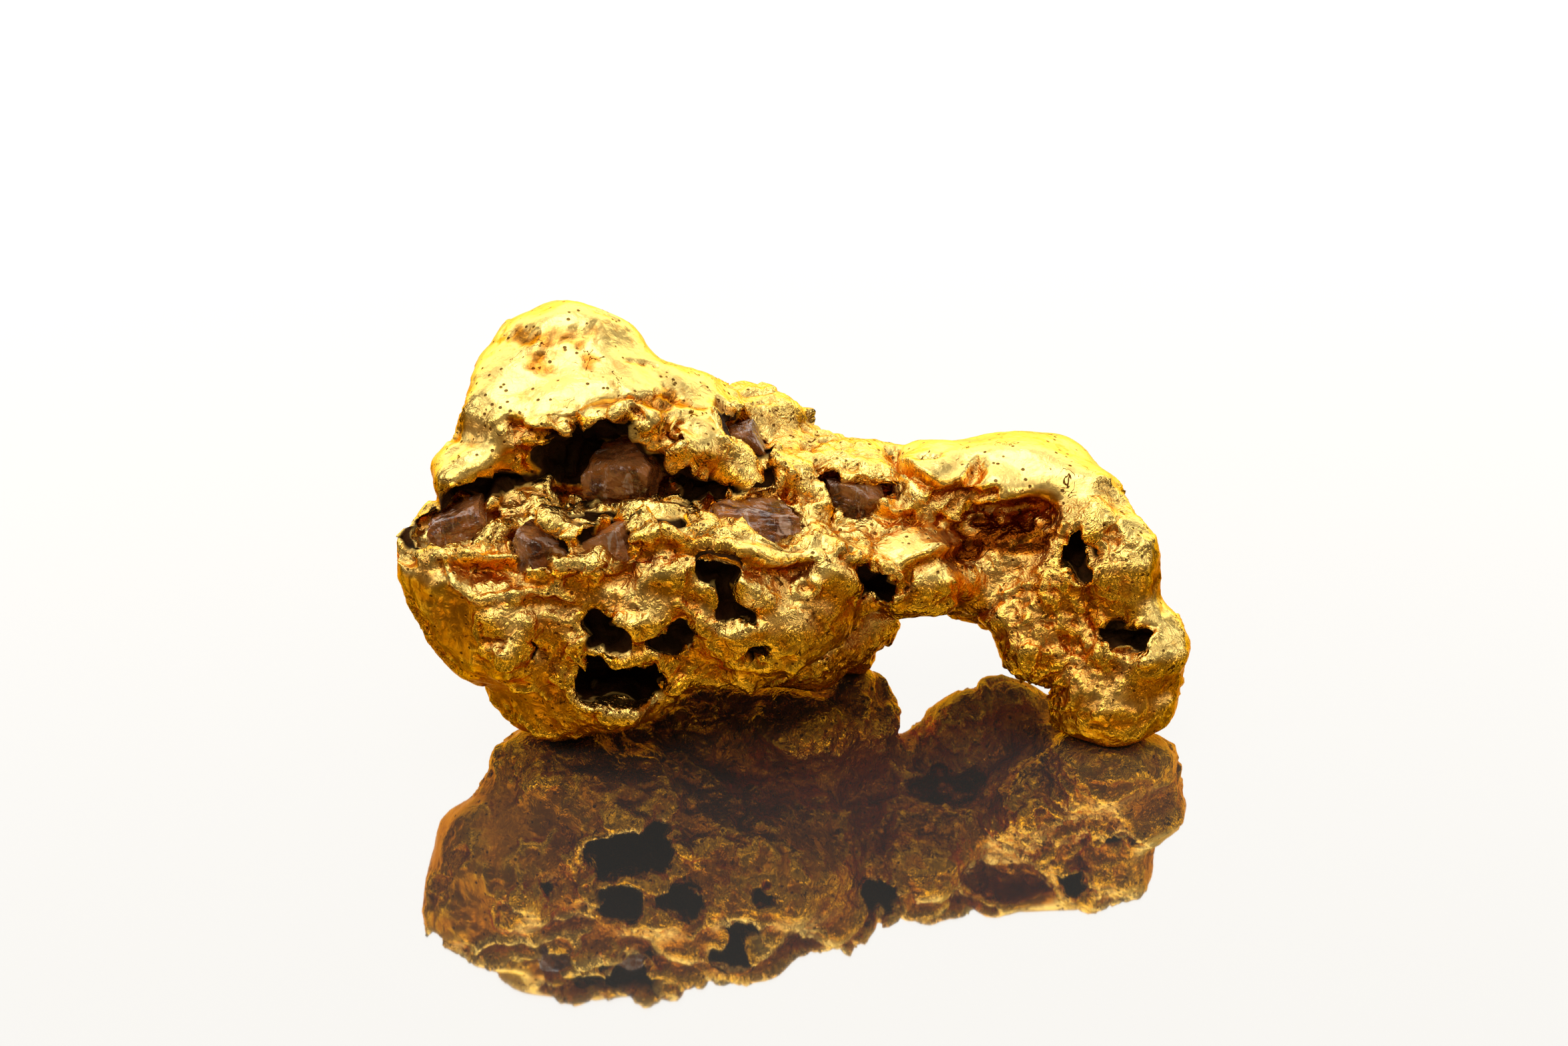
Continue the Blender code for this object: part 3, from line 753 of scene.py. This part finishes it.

# %% [markdown]
# ## What the finish needs to know
#
# The colour of the metal follows its relief: pale where it stands out, as wear and painted light,
# orange in the hollows as painted shade, nearly black in the bottom of a pit, where soil and iron stain
# stay, and in every deep recess, as soil with painted shade. Relief is measured by how far a point lies
# below a smoothed copy of the surface, once over a short distance and once over a long one. The upper
# faces are paler too, because they are rubbed most, and as painted light from above.

# %% Relief, soil and painted shade, painted light and wear as numbers on the mesh
BROAD_GAIN = 1.1
FINE_GAIN = 4.0
CREST_GAIN = 0.32
broad_copy = eased(finished, 90)
near_copy = eased(finished, 6)
deep = np.sum((broad_copy - finished) * outward(net, broad_copy), axis=1)
shallow = np.sum((near_copy - finished) * outward(net, near_copy), axis=1)
# Faces turned up are painted lighter, as light from above, less on the leg; the crests of the top half get
# this painted light too.
upper = soft_step(outward(net, eased(finished, 10))[:, 2], 0.10, 0.56) * (1.0 - 0.5 * leg)
# Near-black in the darkened pits, most on their far walls, and in every deep recess: soil and painted shade
# together.
in_pit = eased(soft_step(nearest_darkened, 1.10, 0.98), 3)
inside = soft_step(in_pit, 0.50, 0.95) * soft_step(deep, -0.10, 0.12) + eased(bottoms, 3)
soil_and_shade = np.clip(inside + soft_step(deep, 0.45, 0.80), 0.0, 1.0)
crest = soft_step(drawing, 0.06, 0.24)
upper = np.maximum(upper, 0.6 * crest * soft_step(home[:, 2], 4.5, 6.5))
relief = np.clip(0.5 - deep * BROAD_GAIN - shallow * FINE_GAIN + CREST_GAIN * crest, 0.0, 1.0)
print("relief from", round(float(relief.min()), 2), "to", round(float(relief.max()), 2))


def store(mesh, name, values):
    """Keep one number for each point as an attribute that a material can read."""
    layer = mesh.attributes.new(name, "FLOAT", "POINT")
    layer.data.foreach_set("value", values.astype(np.float32))


def shown(name, mesh, node):
    """An object for a finished mesh that stands for a CAD node, hung under the root body; the CAD node is
    hidden.
    """
    thing = bpy.data.objects.new(name, mesh)
    scene.collection.objects.link(thing)
    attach(thing, "root")
    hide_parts(node)
    return thing


net.vertices.foreach_set("co", (finished * MM).ravel())
net.update()
net.shade_smooth()
store(net, "relief", relief)
store(net, "soil_and_shade", soil_and_shade)
store(net, "worn", worn)
store(net, "upper", upper)
store(net, "stain_and_shade", eased(stain_and_shade, 2))
nugget = shown("nugget_skin", net, "gold_nugget")
print("nugget skin:", len(net.vertices), "points")

# %% [markdown]
# ## Writing shader maths
#
# A material is a graph of nodes. To keep the sums readable, a small class wraps one socket, and
# Python's own signs then add Math nodes: `1 - mask * 0.5` becomes two nodes. Every other kind of node
# comes from one method, which takes the node's type, its settings and what goes into its sockets.

# %% A class for sockets


class Wire:
    """One socket of a node tree, with arithmetic."""

    def __init__(self, tree, socket=None):
        self.tree = tree
        self.socket = socket

    def node(self, kind, settings=None, sockets=None, out=0):
        """Add a node: settings first, then values or wires for its sockets, by name or number."""
        made = self.tree.nodes.new(kind)
        for key, value in (settings or {}).items():
            setattr(made, key, value)
        for key, value in (sockets or {}).items():
            if isinstance(value, Wire):
                self.tree.links.new(value.socket, made.inputs[key])
            else:
                made.inputs[key].default_value = value
        return Wire(self.tree, made.outputs[out]) if made.outputs else made

    def math(self, operation, first, second):
        """One Math node on two numbers or wires."""
        return self.node("ShaderNodeMath", {"operation": operation}, {0: first, 1: second})

    def __add__(self, other):
        return self.math("ADD", self, other)

    __radd__ = __add__

    def __sub__(self, other):
        return self.math("SUBTRACT", self, other)

    def __rsub__(self, other):
        return self.math("SUBTRACT", other, self)

    def __mul__(self, other):
        return self.math("MULTIPLY", self, other)

    __rmul__ = __mul__

    def between(self, low, high):
        """0 at low, 1 at high, smooth between them and flat outside."""
        limits = {"Value": self, "From Min": low, "From Max": high}
        return self.node("ShaderNodeMapRange", {"interpolation_type": "SMOOTHSTEP"}, limits)

    def blend(self, first, second):
        """The colour first where this wire is 0 and second where it is 1."""
        inputs = {0: self, 6: first, 7: second}
        return self.node("ShaderNodeMix", {"data_type": "RGBA"}, inputs, out=2)


def colour(red, green, blue):
    """A colour with full opacity, in linear light."""
    return (red, green, blue, 1.0)


def new_finish(name):
    """An empty material and a wire into its tree."""
    made = bpy.data.materials.new(name)
    made.use_nodes = True
    made.node_tree.nodes.clear()
    return made, Wire(made.node_tree)


print("1 - mask * 0.5 will add two Math nodes")

# %% [markdown]
# ## The gold
#
# Gold is a bare metal, so nearly all of its colour is in its reflection. What makes it look like a
# nugget and not like jewellery is how that reflection changes: rubbed crests and upper faces are pale,
# from wear and from painted light, and a little polished; lower slopes are a deeper yellow and hollows
# orange, as painted shade, with red-brown iron stain and orange spots that are partly painted shade; a
# painted shadow of dark brown lies under the bar; pit bottoms and deep recesses hold dirt that isn't
# metal at all, with painted shade. Bumps finer than the net come from noise in the shader.

# %% Colours of the gold, in linear light
# Painted light and shade are among these colours: the pale gold of lit upper faces, the deeper yellow and
# orange of low places, the shade brown and the soil colours of recesses.
SHADE_DEEP_YELLOW = colour(0.66, 0.215, 0.004)
YELLOW = colour(0.93, 0.43, 0.018)
LIT_AND_RUBBED_GOLD = colour(1.0, 0.72, 0.22)
GLANCING_GOLD = colour(1.0, 0.62, 0.15)
HOLLOW_SHADE_ORANGE = colour(0.50, 0.13, 0.003)
STAIN_AND_SHADE_ORANGE = colour(0.62, 0.19, 0.003)
MOTTLED_ORANGE = colour(0.74, 0.27, 0.010)
IRON_STAIN = colour(0.26, 0.055, 0.003)
SHADE_BROWN = colour(0.17, 0.036, 0.002)
SPECK_BROWN = colour(0.090, 0.028, 0.004)
DARK_SOIL_AND_SHADE = colour(0.008, 0.0028, 0.0012)
BROWN_SOIL_AND_SHADE = colour(0.034, 0.011, 0.004)
print("rubbed gold reflects", LIT_AND_RUBBED_GOLD[:3])

# %% Gold finish
gold, g = new_finish("native_gold")
place = g.node("ShaderNodeTexCoord", out=3)


def read(name):
    """A wire that carries one of the numbers kept on the mesh."""
    return g.node("ShaderNodeAttribute", {"attribute_name": name}, out=2)


def noise(board, where, scale, detail=3.0, roughness=0.55, twist=0.0):
    """Noise from 0 to 1 with that many waves a metre."""
    inputs = {"Vector": where, "Scale": scale, "Detail": detail, "Roughness": roughness, "Distortion": twist}
    return board.node("ShaderNodeTexNoise", None, inputs)


stain_noise = noise(g, place, 620.0, 4.0, 0.6, 0.6)
patch_noise = noise(g, place, 1500.0, 4.0, 0.6, 0.4)
fold_noise = noise(g, place, 2900.0, 3.0, 0.55, 0.5)
grain_noise = noise(g, place, 6500.0, 3.0, 0.6)
rubbed = read("worn")
relief_wire = read("relief") + (patch_noise - 0.5) * 0.30
# As relief falls, the side colour deepens and the hollows turn orange: painted shade. Faces turned up turn
# pale: painted light from above, with some wear.
high = relief_wire.between(0.50, 0.82)
facing_up = read("upper")
low = relief_wire.between(0.46, 0.16) * (1.0 - facing_up * 0.45)
pale = (facing_up * (0.78 + 0.22 * rubbed)) * (0.80 + 0.4 * patch_noise)
side_colour = high.blend(SHADE_DEEP_YELLOW, YELLOW)
body_colour = pale.blend(side_colour, LIT_AND_RUBBED_GOLD)
body_colour = low.blend(body_colour, HOLLOW_SHADE_ORANGE)
# Orange where the stain mask is high, partly stain and partly painted shade; at its top, under the bar and
# beside the knob, a painted shadow of dark brown.
orange = (read("stain_and_shade") + (stain_noise - 0.5) * 1.2).between(0.15, 0.85)
body_colour = (orange * 0.85).blend(body_colour, STAIN_AND_SHADE_ORANGE)
shadow = (read("stain_and_shade") + (patch_noise - 0.5) * 0.5).between(0.62, 0.95)
body_colour = shadow.blend(body_colour, SHADE_BROWN)
mottle = noise(g, place, 2300.0, 4.0, 0.65, 0.8).between(0.52, 0.66) * relief_wire.between(0.80, 0.45)
body_colour = (mottle * 0.45).blend(body_colour, MOTTLED_ORANGE)
stain = stain_noise.between(0.54, 0.68) * relief_wire.between(0.70, 0.35)
body_colour = (stain * (0.8 - facing_up * 0.5)).blend(body_colour, IRON_STAIN)
print("mixed the colours of the metal")

# %% [markdown]
# The rubbed faces carry dark specks, the mouths of tiny holes, and short thin cracks. A speck is a
# place near the middle of a Voronoi cell that was given a high chance number. A crack is where a wavy
# noise passes through its middle value, kept only where a second noise is high.

# %% Specks, cracks, dirt and bumps of the gold
speck_cells = {"Vector": place, "Scale": 4800.0}
speck = g.node("ShaderNodeTexVoronoi", {"feature": "F1"}, speck_cells)
speck_middle = g.node("ShaderNodeTexVoronoi", {"feature": "F1"}, speck_cells, out=2)
speck_chance = g.node("ShaderNodeTexWhiteNoise", {"noise_dimensions": "3D"}, {"Vector": speck_middle})
specks = speck.between(0.34, 0.16) * speck_chance.between(0.80, 0.84)
crack_noise = noise(g, place, 1150.0, 3.0, 0.5, 1.2)
crack_line = ((crack_noise - 0.5) * (crack_noise - 0.5)).between(0.00016, 0.00002)
cracks = crack_line * stain_noise.between(0.55, 0.62)
marks = (specks * 0.8 + cracks * 0.9).between(0.0, 1.0)
marked_colour = marks.blend(body_colour, SPECK_BROWN)
# The near-black soil colour, laid where the soil-and-shade mask is high: soil and painted shade.
soil_and_shade_wire = (read("soil_and_shade") + (patch_noise - 0.5) * 0.5).between(0.25, 0.75)
soil_and_shade_colour = patch_noise.between(0.35, 0.65).blend(DARK_SOIL_AND_SHADE, BROWN_SOIL_AND_SHADE)
gold_colour = soil_and_shade_wire.blend(marked_colour, soil_and_shade_colour)
shine = 0.29 - high * 0.07 + rubbed * 0.06 + (grain_noise - 0.5) * 0.25 + marks * 0.2
fold_height = 1.0 - (fold_noise.between(0.3, 0.5) - fold_noise.between(0.5, 0.7))
bumps = grain_noise * 0.15 + noise(g, place, 14000.0, 2.0, 0.5) * 0.04
bumps = bumps + fold_height * (0.34 - rubbed * 0.28) - marks * 0.6
raised = g.node("ShaderNodeBump", None, {"Strength": 0.8, "Distance": 0.00010, "Height": bumps})
surface = g.node(
    "ShaderNodeBsdfPrincipled",
    None,
    {
        "Base Color": gold_colour,
        "Metallic": 1.0 - soil_and_shade_wire * 0.9,
        "Roughness": shine + soil_and_shade_wire * 0.45,
        "Specular Tint": GLANCING_GOLD,
        "Specular IOR Level": 0.2,
        "Normal": raised,
    },
)
g.node("ShaderNodeOutputMaterial", None, {"Surface": surface})
nugget.data.materials.append(gold)
print("gold finish:", len(gold.node_tree.nodes), "nodes")

# %% [markdown]
# ## The quartz grains
#
# Quartz breaks like glass, in flat and shell-like faces. Each grain is a ball of directions, and in
# each direction the surface lies on the nearest of a set of chance planes, so that the grain is a
# broken stone with sharp edges. Six of the planes stand nearly like the faces of a box, so that it is
# a block with broken corners. Waves and low steps make the faces uneven like real breaks.

# %% Grains as functions of two angles
ROWS = 64
COLUMNS = 128
PLANES = 15
BOX_PLANES = 6
BOX_LEAN = 0.22
FARTHEST = 1.18
LEAST_LEAN = 0.05


def broken_grain(name, middle, radii, turn, seed):
    """A closed mesh in metres. For a direction u given by two angles, the reach is the smallest of
    d / (u . n) over the planes with normals n and distances d, times 1 + wave, plus a terrace. The
    radii stretch it along x, y and z."""
    around_angle = np.linspace(0.0, 2.0 * math.pi, COLUMNS, endpoint=False)
    down_angle = np.linspace(0.0, math.pi, ROWS + 1)[1:-1]
    down, turn_angle = np.meshgrid(down_angle, around_angle, indexing="ij")
    directions = np.stack(
        [np.sin(down) * np.cos(turn_angle), np.sin(down) * np.sin(turn_angle), np.cos(down)], axis=-1
    ).reshape(-1, 3)
    directions = np.concatenate([directions, [[0.0, 0.0, 1.0], [0.0, 0.0, -1.0]]])
    chance = np.random.default_rng(seed)
    plane_normals = chance.normal(size=(PLANES, 3))
    box_normals = np.concatenate([np.eye(3), -np.eye(3)])
    plane_normals[:BOX_PLANES] = box_normals + BOX_LEAN * plane_normals[:BOX_PLANES]
    plane_normals /= np.linalg.norm(plane_normals, axis=1)[:, None]
    distances = chance.uniform(0.80, 1.02, size=PLANES)
    distances[:BOX_PLANES] = chance.uniform(0.70, 0.84, size=BOX_PLANES)
    lean = np.maximum(directions @ plane_normals.T, LEAST_LEAN)
    reach = np.minimum(np.min(distances / lean, axis=1), FARTHEST)
    reach *= 1.0 + 0.10 * waves(directions * 1.6 + seed, 1.0, seed)
    reach += 0.04 * terraces(many_waves(directions * 2.0 + seed, 0.8, 3, seed), 3.0, 0.3)
    angle = math.radians(turn)
    local = directions * reach[:, None] * np.array(radii)
    x = local[:, 0] * math.cos(angle) + local[:, 2] * math.sin(angle)
    z = local[:, 2] * math.cos(angle) - local[:, 0] * math.sin(angle)
    places = np.stack([x, local[:, 1], z], axis=1) + np.array(middle)
    rows, columns = ROWS - 1, COLUMNS
    index = np.arange(rows * columns).reshape(rows, columns)
    right = np.roll(index, -1, axis=1)
    quads = np.stack([index[:-1], index[1:], right[1:], right[:-1]], axis=-1).reshape(-1, 4)
    top = np.stack([np.full(columns, rows * columns), index[0], right[0]], axis=-1)
    bottom = np.stack([np.full(columns, rows * columns + 1), right[-1], index[-1]], axis=-1)
    mesh = bpy.data.meshes.new(name)
    mesh.from_pydata((places * MM).tolist(), [], quads.tolist() + top.tolist() + bottom.tolist())
    mesh.update()
    return mesh


# node: (place), (radii), turn about the depth axis in degrees, seed
GRAINS = {
    "quartz_hollow": ((-5.16, -0.39, 8.0), (1.35, 1.40, 1.00), 10, 3),
    "quartz_notch": ((-10.21, -1.89, 7.2), (1.15, 1.15, 0.60), -22, 7),
    "quartz_front_left": ((-7.71, -3.19, 6.9), (1.00, 0.85, 0.70), 20, 11),
    "quartz_front_right": ((-5.51, -3.19, 7.0), (0.85, 0.80, 0.65), -10, 15),
    "quartz_centre": ((-1.21, -1.99, 7.0), (1.75, 0.90, 0.60), 3, 19),
    "quartz_crevice": ((-1.31, 0.91, 8.2), (0.55, 0.80, 1.10), -28, 23),
    "quartz_saddle": ((1.89, -0.09, 6.9), (1.05, 0.75, 0.60), 10, 27),
    "quartz_back": ((-5.51, 4.01, 5.5), (1.45, 1.00, 1.00), 25, 31),
}
grains = {}
for node_name, (middle, radii, turn, seed) in GRAINS.items():
    grain_mesh = broken_grain(node_name + "_glass", middle, radii, turn, seed)
    grains[node_name] = shown(node_name + "_glass", grain_mesh, node_name)
print("made", len(grains), "quartz grains")

# %% [markdown]
# ## The quartz finish
#
# The grains are smoky quartz, brown to purple, and stained red along their cracks. Light goes some
# way in, so part of the colour comes from transmission and part from the stained surface. Quartz
# bends light by 1.54. Pale streaks, drawn out along its height, stand partly for healed cracks and
# are partly painted highlights.

# %% Quartz finish
SMOKE_BROWN = colour(0.10, 0.026, 0.008)
CLEAR_BROWN = colour(0.62, 0.25, 0.08)
IRON_RED = colour(0.55, 0.16, 0.015)
MILKY_STREAK_AND_HIGHLIGHT = colour(0.80, 0.56, 0.42)
QUARTZ_IOR = 1.54
quartz, q = new_finish("smoky_quartz_glass")
where = q.node("ShaderNodeTexCoord", out=3)
stretched = q.node("ShaderNodeMapping", None, {"Vector": where, "Scale": (1.0, 1.0, 0.35)})
cloud = noise(q, where, 700.0, 4.0, 0.6, 0.8)
crack = noise(q, where, 1600.0, 5.0, 0.65, 1.5)
quartz_colour = cloud.between(0.40, 0.60).blend(SMOKE_BROWN, CLEAR_BROWN)
quartz_colour = crack.between(0.54, 0.66).blend(quartz_colour, IRON_RED)
# Pale streaks: healed cracks, and painted highlights as well.
streak = noise(q, stretched, 2600.0, 3.0, 0.6, 0.8)
quartz_colour = streak.between(0.56, 0.68).blend(quartz_colour, MILKY_STREAK_AND_HIGHLIGHT)
chips = q.node("ShaderNodeTexVoronoi", {"feature": "F1"}, {"Vector": where, "Scale": 1900.0})
uneven_height = chips + noise(q, where, 4200.0, 3.0, 0.6, 0.4) * 0.5
uneven = q.node("ShaderNodeBump", None, {"Strength": 0.35, "Distance": 0.00010, "Height": uneven_height})
glass = q.node(
    "ShaderNodeBsdfPrincipled",
    None,
    {
        "Base Color": quartz_colour,
        "Roughness": cloud * 0.12 + 0.05,
        "Specular IOR Level": 0.4,
        "IOR": QUARTZ_IOR,
        "Transmission Weight": 0.55,
        "Normal": uneven,
    },
)
q.node("ShaderNodeOutputMaterial", None, {"Surface": glass})
for grain in grains.values():
    grain.data.materials.append(quartz)
print("quartz finish:", len(quartz.node_tree.nodes), "nodes")

# %% [markdown]
# ## The plate and the light
#
# The nugget lies on a glossy plate that mirrors a bright white screen behind it. That is why the
# floor looks white and the nugget's mirror image in it looks dark. The plate is a grey mirror with
# very little colour of its own, and the screen behind is several times brighter than white. The same
# screen and a large ceiling light the upper faces of the gold. The front gets only the softer light of
# the room, from small windows and a low strip, whose warmer tint keeps the gold from looking green.

# %% Floor
HALF = 2.5
PLATE_GREY = colour(0.43, 0.425, 0.415)
plate_mesh = bpy.data.meshes.new("plate")
plate_corners = [(-HALF, -HALF, 0.0), (HALF, -HALF, 0.0), (HALF, HALF, 0.0), (-HALF, HALF, 0.0)]
plate_mesh.from_pydata(plate_corners, [], [(0, 1, 2, 3)])
plate = bpy.data.objects.new("plate", plate_mesh)
scene.collection.objects.link(plate)
plate_finish, p = new_finish("glossy_plate")
mirror_values = {"Base Color": PLATE_GREY, "Metallic": 0.94, "Roughness": 0.03}
mirror = p.node("ShaderNodeBsdfPrincipled", None, mirror_values)
p.node("ShaderNodeOutputMaterial", None, {"Surface": mirror})
plate_mesh.materials.append(plate_finish)
print("the plate is", 2 * HALF, "m across")

# %% Lights
NEUTRAL = (1.0, 1.0, 1.0)
WARM = (1.0, 0.90, 0.72)
ROOM_LIGHT = colour(0.13, 0.108, 0.075)
NUGGET = (0.0, 0.0, 0.0)
ABOVE_IT = (0.0, 0.0, 0.25)
# name: (place), (target), width, height, power, tint
PANELS = {
    "screen_behind": ((0.0, 0.9, 0.48), ABOVE_IT, 2.2, 0.95, 13.5, NEUTRAL),
    "panel_above": ((-0.1, 0.1, 1.2), NUGGET, 0.8, 0.8, 5.2, NEUTRAL),
    "ceiling": ((0.0, 0.0, 1.8), NUGGET, 2.8, 2.4, 16.0, NEUTRAL),
    "panel_left": ((-1.0, -0.1, 0.5), NUGGET, 0.5, 0.6, 1.9, NEUTRAL),
    "panel_right": ((1.0, 0.0, 0.4), NUGGET, 0.4, 0.5, 1.3, NEUTRAL),
    "window_front_left": ((-0.55, -0.65, 0.75), NUGGET, 0.26, 0.26, 1.05, WARM),
    "window_front_right": ((0.6, -0.55, 0.5), NUGGET, 0.20, 0.30, 0.95, WARM),
    "window_front_top": ((-0.2, -0.7, 0.9), NUGGET, 0.50, 0.26, 1.8, WARM),
    "strip_low": ((0.1, -0.9, 0.14), NUGGET, 0.6, 0.05, 0.2, WARM),
}


def soft_panel(name, place, target, width, height, power, tint):
    """A flat light that faces target. Its brightness is power / (pi * area)."""
    panel = bpy.data.lights.new(name, "AREA")
    panel.shape = "RECTANGLE"
    panel.size = width
    panel.size_y = height
    panel.energy = power
    panel.color = tint
    lamp = bpy.data.objects.new(name, panel)
    scene.collection.objects.link(lamp)
    look = Vector(target) - Vector(place)
    lamp.matrix_world = Matrix.Translation(place) @ look.to_track_quat("-Z", "Y").to_matrix().to_4x4()


for panel_name, values in PANELS.items():
    soft_panel(panel_name, *values)
surroundings = bpy.data.worlds.new("soft_room")
surroundings.use_nodes = True
surroundings.node_tree.nodes["Background"].inputs["Color"].default_value = ROOM_LIGHT
scene.world = surroundings
scene.view_settings.view_transform = "Standard"
